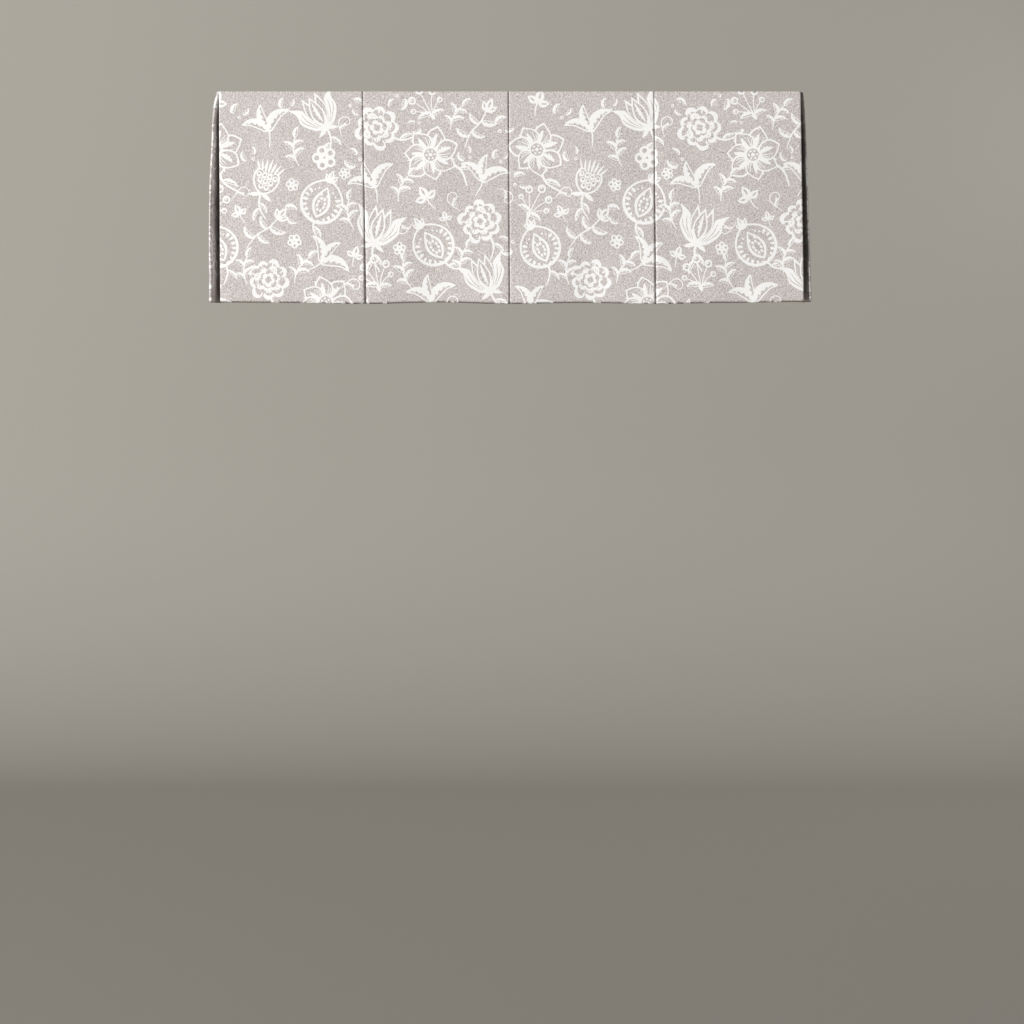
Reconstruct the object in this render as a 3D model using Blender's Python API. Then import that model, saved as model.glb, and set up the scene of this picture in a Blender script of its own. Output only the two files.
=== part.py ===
"""A window valance with four flat face panels, inverted pleats between them and at both corners,
and a return at each side that runs back to the wall.

Metres, +Z up. The face looks along -Y and the returns run back along +Y. The origin is the middle of
the top edge, in the plane of the front edge of the board that the cloth is fastened to, so the cloth
of the face lies in front of y = 0 and the board's space behind it.

Every piece is one sheet of cloth. Its plan is a path of stations, each a point and the direction that
the printed side faces, and the sheet is that plan carried down from the heading to the hem.
"""

import math

import bmesh
import bpy

# The cut and hang of the whole valance.
DROP = 0.406
RETURN_DEPTH = 0.089
PLEAT_DEPTH = 0.060
CORNER_DEPTH = 0.065

# The cloth, and the turnings that make it thicker along the heading and the hem.
CLOTH = 0.0016
TURNING = 0.0012
HEADING = 0.025
HEM = 0.050
THINNING = 0.003
GAP = 0.0005

# x of each outer edge of the face: at the heading, at the hem.
FACE_EDGES = {"left": (-0.5622, -0.5596), "right": (0.5580, 0.5640)}

# Each pleat: x at the heading, x at the hem, how far it stands open at the heading, and at the hem.
PLEATS = (
    (-0.2854, -0.2797, 0.0008, 0.0036),
    (-0.0046, -0.0027, 0.0008, 0.0011),
    (0.2754, 0.2781, 0.0008, 0.0032),
)

# Part of the drop, then how far the front fold of each return stands outside the face: left, right.
FLARES = (
    (0.00, 0.0050, 0.0050),
    (0.06, 0.0110, 0.0075),
    (0.13, 0.0139, 0.0090),
    (0.25, 0.0158, 0.0108),
    (0.42, 0.0199, 0.0125),
    (0.61, 0.0217, 0.0137),
    (0.80, 0.0223, 0.0152),
    (1.00, 0.0225, 0.0170),
)
FLARE_COLUMN = {"left": 1, "right": 2}
# The share of that flare which the edge at the wall has too.
WALL_FLARE = 0.5
# How far a return's front fold swings back, as a share of how much further it stands out than at the
# heading.
SWING_BACK = {"left": 0.0, "right": 0.8}

# How the cloth hangs at each station across the face: how far it bellies forward at mid drop, how far
# it swings forward at the hem, and how much lower than DROP its hem hangs.
DRAPE = (
    (0.0000, 0.0000, 0.0000),  # left corner
    (0.0030, 0.0015, 0.0010),  # panel 1
    (0.0000, 0.0030, 0.0030),  # pleat 1
    (0.0020, -0.0010, 0.0000),  # panel 2
    (0.0000, 0.0015, 0.0030),  # pleat 2
    (0.0040, 0.0000, 0.0010),  # panel 3
    (0.0000, 0.0030, 0.0030),  # pleat 3
    (0.0030, 0.0020, 0.0010),  # panel 4
    (0.0000, 0.0000, -0.0010),  # right corner
)

# Layers of a pleat, as distances of their middle planes in front of the board.
UNDERLAY_OUT = TURNING + CLOTH / 2
TURN_BACK_OUT = UNDERLAY_OUT + CLOTH + GAP
FACE_OUT = TURN_BACK_OUT + CLOTH + 2 * TURNING + 2 * GAP
FOLD_RADIUS = (FACE_OUT - TURN_BACK_OUT) / 2

# The front fold of a return lies just behind the back of the face's own turn-back.
TURNED_RADIUS = (CLOTH + 2 * TURNING + GAP) / 2
RETURN_FOLD_BACK = TURNED_RADIUS + CLOTH / 2 + GAP - (TURN_BACK_OUT - CLOTH / 2)
# Radius of that fold where the cloth is plain, and how far from a turning it is pressed so flat.
PRESSED_RADIUS = 0.0013
PRESSED_WITHIN = 0.040
# At the hem a return's turn-back slants this much further inwards than the return does.
TURN_BACK_SLANT = math.radians(2)
# The bend of a corner pleat's strip, and the width that rounding it saves.
TIGHT_CORNER = 0.003
ROUNDING_SAVES = TIGHT_CORNER * (2 - math.pi / 2)

# Steps along each stretch of a plan, and down the plain cloth between the turnings.
FACE_STEPS = 10
TURN_BACK_STEPS = 3
FOLD_STEPS = 6
RETURN_STEPS = 4
PLAIN_ROWS = 8

CLOTH_COLOUR = (0.62, 0.59, 0.56, 1)
CLOTH_ROUGHNESS = 0.9
# Faces that meet at more than this angle are shaded as an edge.
EDGE_ANGLE = math.radians(40)


def mix(low, high, part):
    return low + (high - low) * part


def smooth_row(table, part, column):
    """Value of a column where the table's first column is part, on a smooth curve through its rows."""
    last = len(table) - 2
    i = min(max(sum(row[0] <= part for row in table) - 1, 0), last)
    before, low, high, after = (table[min(max(k, 0), last + 1)] for k in (i - 1, i, i + 1, i + 2))
    span = high[0] - low[0]
    t = (part - low[0]) / span
    rise = (high[column] - before[column]) / (high[0] - before[0]) * span
    fall = (after[column] - low[column]) / (after[0] - low[0]) * span
    return (
        low[column] * (2 * t**3 - 3 * t**2 + 1)
        + rise * (t**3 - 2 * t**2 + t)
        + high[column] * (3 * t**2 - 2 * t**3)
        + fall * (t**3 - t**2)
    )


def station_places(part):
    """x of every row of DRAPE at this part of the drop."""
    lines = [FACE_EDGES["left"], *(pleat[:2] for pleat in PLEATS), FACE_EDGES["right"]]
    seams = [mix(heading, hem, part) for heading, hem in lines]
    places = [seams[0]]
    for left, right in zip(seams, seams[1:]):
        places += [(left + right) / 2, right]
    return places


def drape_at(x, part):
    """(belly, swing, lower) at x: the two nearest stations, eased from one to the other."""
    places = station_places(part)
    x = min(max(x, places[0]), places[-1])
    i = min(sum(place <= x for place in places), len(places) - 1)
    t = (x - places[i - 1]) / (places[i] - places[i - 1])
    ease = t * t * (3 - 2 * t)
    return [mix(low, high, ease) for low, high in zip(DRAPE[i - 1], DRAPE[i])]


def hung(x, y, part):
    """The point of the hanging cloth that lies at (x, y) in its plan."""
    belly, swing, lower = drape_at(x, part)
    free = max(part * DROP - HEADING, 0) / (DROP - HEADING)
    forward = belly * math.sin(math.pi * free) ** 2 + swing * free**2
    return x, y - forward, -(part * DROP + lower * part**3)


def turned_in(part):
    """1 along the heading and the hem, and 0 on the plain cloth between them."""
    down = part * DROP
    past_heading = (down - HEADING) / THINNING
    before_hem = (DROP - HEM - down) / THINNING
    return 1 - min(max(min(past_heading, before_hem), 0), 1)


def row_parts():
    """Parts of the drop at which the sheets have a row of points."""
    top, bottom = HEADING + THINNING, DROP - HEM - THINNING
    plain = [mix(top, bottom, i / PLAIN_ROWS) for i in range(PLAIN_ROWS + 1)]
    return [down / DROP for down in (0, HEADING, *plain, DROP - HEM, DROP)]


def straight(start, end, steps, facing):
    """Stations along a line, leaving out its end."""
    return [
        (mix(start[0], end[0], i / steps), mix(start[1], end[1], i / steps), *facing)
        for i in range(steps)
    ]


def arc(centre, radius, first, last, steps):
    """Stations round a bend, leaving out its end, with the print on the outside of the bend."""
    stations = []
    for i in range(steps):
        angle = mix(first, last, i / steps)
        across, along = math.cos(angle), math.sin(angle)
        stations.append((centre[0] + radius * across, centre[1] + radius * along, across, along))
    return stations


def face_plan(left, right):
    """A face panel between two edges: turn-back, fold, face, fold and turn-back."""
    inset = FOLD_RADIUS + CLOTH / 2
    middle = -(TURN_BACK_OUT + FACE_OUT) / 2
    back, front = -TURN_BACK_OUT, -FACE_OUT
    quarter = math.pi / 2
    stations = straight((left + PLEAT_DEPTH, back), (left + inset, back), TURN_BACK_STEPS, (0, 1))
    stations += arc((left + inset, middle), FOLD_RADIUS, quarter, 3 * quarter, FOLD_STEPS)
    stations += straight((left + inset, front), (right - inset, front), FACE_STEPS, (0, -1))
    stations += arc((right - inset, middle), FOLD_RADIUS, 3 * quarter, 5 * quarter, FOLD_STEPS)
    stations += straight((right - inset, back), (right - PLEAT_DEPTH, back), TURN_BACK_STEPS, (0, 1))
    return stations + [(right - PLEAT_DEPTH, back, 0, 1)]


def underlay_plan(left, right):
    """The flat strip behind a pleat, as wide as the two turn-backs and the opening between them."""
    level, middle = -UNDERLAY_OUT, (left + right) / 2
    stations = straight((left, level), (middle, level), TURN_BACK_STEPS + 1, (0, -1))
    stations += straight((middle, level), (right, level), TURN_BACK_STEPS + 1, (0, -1))
    return stations + [(right, level, 0, -1)]


def wall_flare(flare):
    """How far the edge of a return at the wall stands outside the face, where its front fold stands out
    by flare."""
    return mix(FLARES[0][1], flare, WALL_FLARE)


def return_fold_radius(part):
    """The fold of a return is as round as its turnings make it, and pressed flatter between them."""
    down = part * DROP
    past_turning = min(down - HEADING - THINNING, DROP - HEM - THINNING - down) / PRESSED_WITHIN
    t = min(max(past_turning, 0), 1)
    return mix(TURNED_RADIUS, PRESSED_RADIUS, t * t * (3 - 2 * t))


def return_lines(flare, swing, part):
    """What the plans of one corner share, as (outward, backward) from the face's outer edge: the middle
    of the return's front fold, the slant of the return, and the slant of its turn-back."""
    fold = (flare - CLOTH / 2 - return_fold_radius(part), RETURN_FOLD_BACK + swing)
    slant = math.atan2(flare - wall_flare(flare), RETURN_DEPTH - fold[1])
    return fold, slant, slant + TURN_BACK_SLANT * part


def return_plan(flare, swing, part):
    """A return, from the wall to its front fold and back along its turn-back."""
    fold, slant, turn_slant = return_lines(flare, swing, part)
    radius = return_fold_radius(part)
    wall = (wall_flare(flare) - CLOTH / 2, RETURN_DEPTH)
    outer = (fold[0] + radius * math.cos(slant), fold[1] + radius * math.sin(slant))
    inner = (fold[0] - radius * math.cos(turn_slant), fold[1] - radius * math.sin(turn_slant))
    end = (
        inner[0] - CORNER_DEPTH * math.sin(turn_slant),
        inner[1] + CORNER_DEPTH * math.cos(turn_slant),
    )
    inward = (-math.cos(turn_slant), -math.sin(turn_slant))
    stations = [(*wall, 1, 0)]
    stations += straight(wall, outer, RETURN_STEPS, (math.cos(slant), math.sin(slant)))[1:]
    stations += arc(fold, radius, slant, turn_slant - math.pi, FOLD_STEPS)
    stations += straight(inner, end, TURN_BACK_STEPS, inward)
    return stations + [(*end, *inward)]


def corner_length():
    """Width of the strip behind a corner pleat, measured where the heading holds it tight."""
    fold, _, _ = return_lines(FLARES[0][1], 0, 0)
    beyond = fold[0] - TURNED_RADIUS - CLOTH - GAP
    along = CORNER_DEPTH + UNDERLAY_OUT + fold[1]
    return PLEAT_DEPTH + beyond + along - ROUNDING_SAVES


def corner_plan(flare, swing, part):
    """The strip behind a corner pleat. It lies behind the face's turn-back, turns round a pressed crease
    at the face's edge, and runs straight to the end of the return's turn-back. The crease lies where
    the strip keeps its width, so the pleat opens about its inner end like a book."""
    fold, _, slant = return_lines(flare, swing, part)
    level = -UNDERLAY_OUT
    reach = return_fold_radius(part) + CLOTH + GAP
    end = (
        fold[0] - reach * math.cos(slant) - CORNER_DEPTH * math.sin(slant),
        fold[1] - reach * math.sin(slant) + CORNER_DEPTH * math.cos(slant),
    )
    beyond_face = corner_length() + ROUNDING_SAVES - PLEAT_DEPTH
    back = end[1] - level
    inset = (end[0] ** 2 + back**2 - beyond_face**2) / (2 * (beyond_face - end[0]))
    leg = math.atan2(end[0] + inset, back)
    cut_off = TIGHT_CORNER * math.tan((math.pi / 2 + leg) / 2)
    bend_start = (-inset - cut_off, level)
    bend_end = (-inset + cut_off * math.sin(leg), level + cut_off * math.cos(leg))
    centre = (bend_start[0], level + TIGHT_CORNER)
    facing = (math.cos(leg), -math.sin(leg))
    stations = straight((-PLEAT_DEPTH, level), bend_start, TURN_BACK_STEPS, (0, -1))
    stations += arc(centre, TIGHT_CORNER, -math.pi / 2, -leg, FOLD_STEPS)
    stations += straight(bend_end, end, TURN_BACK_STEPS, facing)
    return stations + [(*end, *facing)]


def at_corner(plan, side):
    """Turns a plan in (outward, backward) into one that gives x and y at this corner, for any part."""
    outward = -1 if side == "left" else 1
    heading, hem = FACE_EDGES[side]

    def placed(part):
        edge = mix(heading, hem, part)
        flare = smooth_row(FLARES, part, FLARE_COLUMN[side])
        swing = SWING_BACK[side] * (flare - FLARES[0][FLARE_COLUMN[side]])
        return [
            (edge + outward * across, back, outward * facing_x, facing_y)
            for across, back, facing_x, facing_y in plan(flare, swing, part)
        ]

    return placed


def seam_edges(part):
    """(left, right) x of the folds on each side of every seam: both corners and the pleats."""
    edges = [mix(*FACE_EDGES["left"], part)]
    for heading, hem, closed, opened in PLEATS:
        middle, half = mix(heading, hem, part), mix(closed, opened, part**2) / 2
        edges += [middle - half, middle + half]
    return edges + [mix(*FACE_EDGES["right"], part)]


def cloth_material(name):
    material = bpy.data.materials.new(name)
    material.use_nodes = True
    shader = material.node_tree.nodes["Principled BSDF"]
    shader.inputs["Base Color"].default_value = CLOTH_COLOUR
    shader.inputs["Roughness"].default_value = CLOTH_ROUGHNESS
    shader.inputs["Metallic"].default_value = 0
    material.diffuse_color = CLOTH_COLOUR
    return material


def add_sheet(name, plan):
    """One closed sheet of cloth. plan gives its stations at any part of the drop."""
    shape = bmesh.new()
    printed, reverse = [], []
    for part in row_parts():
        behind = CLOTH / 2 + TURNING * turned_in(part)
        printed_row, reverse_row = [], []
        for x, y, facing_x, facing_y in plan(part):
            place_x, place_y, place_z = hung(x, y, part)
            for row, away in ((printed_row, CLOTH / 2), (reverse_row, -behind)):
                point = (place_x + facing_x * away, place_y + facing_y * away, place_z)
                row.append(shape.verts.new(point))
        printed.append(printed_row)
        reverse.append(reverse_row)
    for side in (printed, reverse):
        for upper, lower in zip(side, side[1:]):
            for j in range(len(upper) - 1):
                shape.faces.new((upper[j], upper[j + 1], lower[j + 1], lower[j]))
    columns = [[row[j] for row in side] for j in (0, -1) for side in (printed, reverse)]
    borders = (
        (printed[0], reverse[0]),
        (printed[-1], reverse[-1]),
        (columns[0], columns[1]),
        (columns[2], columns[3]),
    )
    for near, far in borders:
        for j in range(len(near) - 1):
            shape.faces.new((near[j], near[j + 1], far[j + 1], far[j]))
    bmesh.ops.recalc_face_normals(shape, faces=shape.faces)
    mesh = bpy.data.meshes.new(name)
    shape.to_mesh(mesh)
    shape.free()
    mesh.materials.append(cloth_material(name + "_cloth"))
    mesh.shade_smooth()
    mesh.set_sharp_from_angle(angle=EDGE_ANGLE)
    sheet = bpy.data.objects.new(name, mesh)
    bpy.context.scene.collection.objects.link(sheet)


def add_face_panels():
    for i in range(len(PLEATS) + 1):
        add_sheet(
            f"face_panel_{i + 1}",
            lambda part, i=i: face_plan(seam_edges(part)[2 * i], seam_edges(part)[2 * i + 1]),
        )


def add_pleat_underlays():
    for i in range(len(PLEATS)):
        add_sheet(
            f"pleat_underlay_{i + 1}",
            lambda part, i=i: underlay_plan(
                seam_edges(part)[2 * i + 1] - PLEAT_DEPTH, seam_edges(part)[2 * i + 2] + PLEAT_DEPTH
            ),
        )


def add_corners():
    for side in FACE_EDGES:
        add_sheet(f"corner_underlay_{side}", at_corner(corner_plan, side))
        add_sheet(f"return_{side}", at_corner(return_plan, side))


def clear_scene():
    for existing in list(bpy.data.objects):
        bpy.data.objects.remove(existing, do_unlink=True)


clear_scene()
add_face_panels()
add_pleat_underlays()
add_corners()
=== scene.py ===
import cmath
import math

import bpy
import numpy as np
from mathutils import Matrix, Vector
from mathutils.geometry import delaunay_2d_cdt


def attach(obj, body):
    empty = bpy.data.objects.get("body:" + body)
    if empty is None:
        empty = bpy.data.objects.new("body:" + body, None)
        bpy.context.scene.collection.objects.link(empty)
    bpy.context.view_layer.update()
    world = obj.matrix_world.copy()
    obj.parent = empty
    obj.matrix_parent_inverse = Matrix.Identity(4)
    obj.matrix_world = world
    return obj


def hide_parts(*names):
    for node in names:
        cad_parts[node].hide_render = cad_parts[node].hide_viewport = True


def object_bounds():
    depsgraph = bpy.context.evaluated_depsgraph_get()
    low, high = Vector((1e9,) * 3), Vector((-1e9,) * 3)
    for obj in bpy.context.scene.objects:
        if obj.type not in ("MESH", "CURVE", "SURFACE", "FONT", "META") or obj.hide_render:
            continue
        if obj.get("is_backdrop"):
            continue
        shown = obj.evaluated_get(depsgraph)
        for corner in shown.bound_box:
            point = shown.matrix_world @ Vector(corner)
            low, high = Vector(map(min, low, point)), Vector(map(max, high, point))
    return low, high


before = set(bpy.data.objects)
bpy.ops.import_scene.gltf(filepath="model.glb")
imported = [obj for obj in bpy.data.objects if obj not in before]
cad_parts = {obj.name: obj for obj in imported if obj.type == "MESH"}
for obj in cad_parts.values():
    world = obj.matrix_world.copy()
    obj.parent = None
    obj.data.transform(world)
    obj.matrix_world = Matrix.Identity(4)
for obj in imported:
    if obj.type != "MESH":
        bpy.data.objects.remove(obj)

CAD_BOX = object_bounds()

# The cut and hang of the valance, in metres, as in the part's source.
DROP = 0.406
RETURN_DEPTH = 0.089
PLEAT_DEPTH = 0.060
CORNER_DEPTH = 0.065
CLOTH = 0.0016
TURNING = 0.0012
HEADING = 0.025
HEM = 0.050
THINNING = 0.003
GAP = 0.0005

# x of each outer edge of the face: at the heading, at the hem.
FACE_EDGES = {"left": (-0.5622, -0.5596), "right": (0.5580, 0.5640)}

# Each pleat: x at the heading, x at the hem, how far it stands open at the heading, and at the hem.
PLEATS = (
    (-0.2854, -0.2797, 0.0008, 0.0036),
    (-0.0046, -0.0027, 0.0008, 0.0011),
    (0.2754, 0.2781, 0.0008, 0.0032),
)

# Part of the drop, then how far the front fold of each return stands outside the face: left, right.
FLARES = (
    (0.00, 0.0050, 0.0050),
    (0.06, 0.0110, 0.0075),
    (0.13, 0.0139, 0.0090),
    (0.25, 0.0158, 0.0108),
    (0.42, 0.0199, 0.0125),
    (0.61, 0.0217, 0.0137),
    (0.80, 0.0223, 0.0152),
    (1.00, 0.0225, 0.0170),
)
FLARE_COLUMN = {"left": 1, "right": 2}
# The share of that flare which the edge at the wall has too.
WALL_FLARE = 0.5
# How far a return's front fold swings back, as a share of how much further it stands out than at the
# heading.
SWING_BACK = {"left": 0.0, "right": 0.8}

# How the cloth hangs at each station across the face: how far it bellies forward at mid drop, how far
# it swings forward at the hem, and how much lower than DROP its hem hangs.
DRAPE = (
    (0.0000, 0.0000, 0.0000),  # left corner
    (0.0030, 0.0015, 0.0010),  # panel 1
    (0.0000, 0.0030, 0.0030),  # pleat 1
    (0.0020, -0.0010, 0.0000),  # panel 2
    (0.0000, 0.0015, 0.0030),  # pleat 2
    (0.0040, 0.0000, 0.0010),  # panel 3
    (0.0000, 0.0030, 0.0030),  # pleat 3
    (0.0030, 0.0020, 0.0010),  # panel 4
    (0.0000, 0.0000, -0.0010),  # right corner
)

# Layers of a pleat, as distances of their middle planes in front of the board.
UNDERLAY_OUT = TURNING + CLOTH / 2
TURN_BACK_OUT = UNDERLAY_OUT + CLOTH + GAP
FACE_OUT = TURN_BACK_OUT + CLOTH + 2 * TURNING + 2 * GAP
FOLD_RADIUS = (FACE_OUT - TURN_BACK_OUT) / 2
TURNED_RADIUS = (CLOTH + 2 * TURNING + GAP) / 2
RETURN_FOLD_BACK = TURNED_RADIUS + CLOTH / 2 + GAP - (TURN_BACK_OUT - CLOTH / 2)
# Radius of that fold where the cloth is plain, and how far from a turning it is pressed so flat.
PRESSED_RADIUS = 0.0013
PRESSED_WITHIN = 0.040
TURN_BACK_SLANT = math.radians(2)
# The bend of a corner pleat's strip, and the width that rounding it saves.
TIGHT_CORNER = 0.003
ROUNDING_SAVES = TIGHT_CORNER * (2 - math.pi / 2)

# Steps along each stretch of a plan, finer than in the solids.
FACE_STEPS = 66
TURN_BACK_STEPS = 13
FOLD_STEPS = 14
RETURN_STEPS = 20
ROW_STEP = 5.0

# How far from a raw edge or a turned edge the cloth rounds off, and where that has rows of points.
EDGE_ROUND = 1.3
EDGE_ROWS = (0.12, 0.4, 0.8)

# Points this near an edge of the cloth lie on it, in millimetres.
SNAP = 0.002

# One repeat of the print, in millimetres.
REPEAT = 620
# How far the print of a pleat's underlay is shifted, and where the middle of a return lies in the
# print, outside the face's edge.
UNDERLAY_SHIFT = 310
RETURN_SHIFT = 12


# ---- the hang of the cloth --------------------------------------------------------------------------


def mix(low, high, part):
    return low + (high - low) * part


def smooth_row(table, part, column):
    """Value of a column where the table's first column is part, on a smooth curve through its rows."""
    last = len(table) - 2
    i = min(max(sum(row[0] <= part for row in table) - 1, 0), last)
    before, low, high, after = (table[min(max(k, 0), last + 1)] for k in (i - 1, i, i + 1, i + 2))
    span = high[0] - low[0]
    t = (part - low[0]) / span
    rise = (high[column] - before[column]) / (high[0] - before[0]) * span
    fall = (after[column] - low[column]) / (after[0] - low[0]) * span
    return (
        low[column] * (2 * t**3 - 3 * t**2 + 1)
        + rise * (t**3 - 2 * t**2 + t)
        + high[column] * (3 * t**2 - 2 * t**3)
        + fall * (t**3 - t**2)
    )


def station_places(part):
    """x of every row of DRAPE at this part of the drop."""
    lines = [FACE_EDGES["left"], *(pleat[:2] for pleat in PLEATS), FACE_EDGES["right"]]
    seams = [mix(heading, hem, part) for heading, hem in lines]
    places = [seams[0]]
    for left, right in zip(seams, seams[1:]):
        places += [(left + right) / 2, right]
    return places


def drape_at(x, part):
    """(belly, swing, lower) at x: the two nearest stations, eased from one to the other."""
    places = station_places(part)
    x = min(max(x, places[0]), places[-1])
    i = min(sum(place <= x for place in places), len(places) - 1)
    t = (x - places[i - 1]) / (places[i] - places[i - 1])
    ease = t * t * (3 - 2 * t)
    return [mix(low, high, ease) for low, high in zip(DRAPE[i - 1], DRAPE[i])]


def hung(x, y, part):
    """The point of the hanging cloth that lies at (x, y) in its plan."""
    belly, swing, lower = drape_at(x, part)
    free = max(part * DROP - HEADING, 0) / (DROP - HEADING)
    forward = belly * math.sin(math.pi * free) ** 2 + swing * free**2
    return x, y - forward, -(part * DROP + lower * part**3)


def turned_in(part):
    """1 along the heading and the hem, and 0 on the plain cloth between them."""
    down = part * DROP
    past_heading = (down - HEADING) / THINNING
    before_hem = (DROP - HEM - down) / THINNING
    return 1 - min(max(min(past_heading, before_hem), 0), 1)


def straight(start, end, steps, facing):
    """Stations along a line, leaving out its end."""
    return [
        (mix(start[0], end[0], i / steps), mix(start[1], end[1], i / steps), *facing)
        for i in range(steps)
    ]


def arc(centre, radius, first, last, steps):
    """Stations round a bend, leaving out its end, with the print on the outside of the bend."""
    stations = []
    for i in range(steps):
        angle = mix(first, last, i / steps)
        across, along = math.cos(angle), math.sin(angle)
        stations.append((centre[0] + radius * across, centre[1] + radius * along, across, along))
    return stations


def face_plan(left, right):
    """A face panel between two edges: turn-back, fold, face, fold and turn-back."""
    inset = FOLD_RADIUS + CLOTH / 2
    middle = -(TURN_BACK_OUT + FACE_OUT) / 2
    back, front = -TURN_BACK_OUT, -FACE_OUT
    quarter = math.pi / 2
    stations = straight((left + PLEAT_DEPTH, back), (left + inset, back), TURN_BACK_STEPS, (0, 1))
    stations += arc((left + inset, middle), FOLD_RADIUS, quarter, 3 * quarter, FOLD_STEPS)
    stations += straight((left + inset, front), (right - inset, front), FACE_STEPS, (0, -1))
    stations += arc((right - inset, middle), FOLD_RADIUS, 3 * quarter, 5 * quarter, FOLD_STEPS)
    stations += straight((right - inset, back), (right - PLEAT_DEPTH, back), TURN_BACK_STEPS, (0, 1))
    return stations + [(right - PLEAT_DEPTH, back, 0, 1)]


def underlay_plan(left, right):
    """The flat strip behind a pleat, as wide as the two turn-backs and the opening between them."""
    level = -UNDERLAY_OUT
    return straight((left, level), (right, level), 2 * TURN_BACK_STEPS, (0, -1)) + [(right, level, 0, -1)]


def wall_flare(flare):
    """How far the edge of a return at the wall stands outside the face, where its front fold stands out
    by flare."""
    return mix(FLARES[0][1], flare, WALL_FLARE)


def return_fold_radius(part):
    """The fold of a return is as round as its turnings make it, and pressed flatter between them."""
    down = part * DROP
    past_turning = min(down - HEADING - THINNING, DROP - HEM - THINNING - down) / PRESSED_WITHIN
    t = min(max(past_turning, 0), 1)
    return mix(TURNED_RADIUS, PRESSED_RADIUS, t * t * (3 - 2 * t))


def return_lines(flare, swing, part):
    """What the plans of one corner share, as (outward, backward) from the face's outer edge: the middle
    of the return's front fold, the slant of the return, and the slant of its turn-back."""
    fold = (flare - CLOTH / 2 - return_fold_radius(part), RETURN_FOLD_BACK + swing)
    slant = math.atan2(flare - wall_flare(flare), RETURN_DEPTH - fold[1])
    return fold, slant, slant + TURN_BACK_SLANT * part


def return_plan(flare, swing, part):
    """A return, from the wall to its front fold and back along its turn-back."""
    fold, slant, turn_slant = return_lines(flare, swing, part)
    radius = return_fold_radius(part)
    wall = (wall_flare(flare) - CLOTH / 2, RETURN_DEPTH)
    outer = (fold[0] + radius * math.cos(slant), fold[1] + radius * math.sin(slant))
    inner = (fold[0] - radius * math.cos(turn_slant), fold[1] - radius * math.sin(turn_slant))
    end = (
        inner[0] - CORNER_DEPTH * math.sin(turn_slant),
        inner[1] + CORNER_DEPTH * math.cos(turn_slant),
    )
    inward = (-math.cos(turn_slant), -math.sin(turn_slant))
    stations = [(*wall, 1, 0)]
    stations += straight(wall, outer, RETURN_STEPS, (math.cos(slant), math.sin(slant)))[1:]
    stations += arc(fold, radius, slant, turn_slant - math.pi, FOLD_STEPS)
    stations += straight(inner, end, TURN_BACK_STEPS, inward)
    return stations + [(*end, *inward)]


def corner_length():
    """Width of the strip behind a corner pleat, measured where the heading holds it tight."""
    fold, _, _ = return_lines(FLARES[0][1], 0, 0)
    beyond = fold[0] - TURNED_RADIUS - CLOTH - GAP
    along = CORNER_DEPTH + UNDERLAY_OUT + fold[1]
    return PLEAT_DEPTH + beyond + along - ROUNDING_SAVES


def corner_plan(flare, swing, part):
    """The strip behind a corner pleat. It lies behind the face's turn-back, turns round a pressed crease
    at the face's edge, and runs straight to the end of the return's turn-back. The crease lies where
    the strip keeps its width, so the pleat opens about its inner end like a book."""
    fold, _, slant = return_lines(flare, swing, part)
    level = -UNDERLAY_OUT
    reach = return_fold_radius(part) + CLOTH + GAP
    end = (
        fold[0] - reach * math.cos(slant) - CORNER_DEPTH * math.sin(slant),
        fold[1] - reach * math.sin(slant) + CORNER_DEPTH * math.cos(slant),
    )
    beyond_face = corner_length() + ROUNDING_SAVES - PLEAT_DEPTH
    back = end[1] - level
    inset = (end[0] ** 2 + back**2 - beyond_face**2) / (2 * (beyond_face - end[0]))
    leg = math.atan2(end[0] + inset, back)
    cut_off = TIGHT_CORNER * math.tan((math.pi / 2 + leg) / 2)
    bend_start = (-inset - cut_off, level)
    bend_end = (-inset + cut_off * math.sin(leg), level + cut_off * math.cos(leg))
    centre = (bend_start[0], level + TIGHT_CORNER)
    facing = (math.cos(leg), -math.sin(leg))
    stations = straight((-PLEAT_DEPTH, level), bend_start, TURN_BACK_STEPS, (0, -1))
    stations += arc(centre, TIGHT_CORNER, -math.pi / 2, -leg, FOLD_STEPS)
    stations += straight(bend_end, end, TURN_BACK_STEPS, facing)
    return stations + [(*end, *facing)]


def at_corner(plan, side):
    """Turns a plan in (outward, backward) into one that gives x and y at this corner, for any part."""
    outward = -1 if side == "left" else 1
    heading, hem = FACE_EDGES[side]

    def placed_plan(part):
        edge = mix(heading, hem, part)
        flare = smooth_row(FLARES, part, FLARE_COLUMN[side])
        swing = SWING_BACK[side] * (flare - FLARES[0][FLARE_COLUMN[side]])
        return [
            (edge + outward * across, back, outward * facing_x, facing_y)
            for across, back, facing_x, facing_y in plan(flare, swing, part)
        ]

    return placed_plan


def seam_edges(part):
    """(left, right) x of the folds on each side of every seam: both corners and the pleats."""
    edges = [mix(*FACE_EDGES["left"], part)]
    for heading, hem, closed, opened in PLEATS:
        middle, half = mix(heading, hem, part), mix(closed, opened, part**2) / 2
        edges += [middle - half, middle + half]
    return edges + [mix(*FACE_EDGES["right"], part)]


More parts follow.
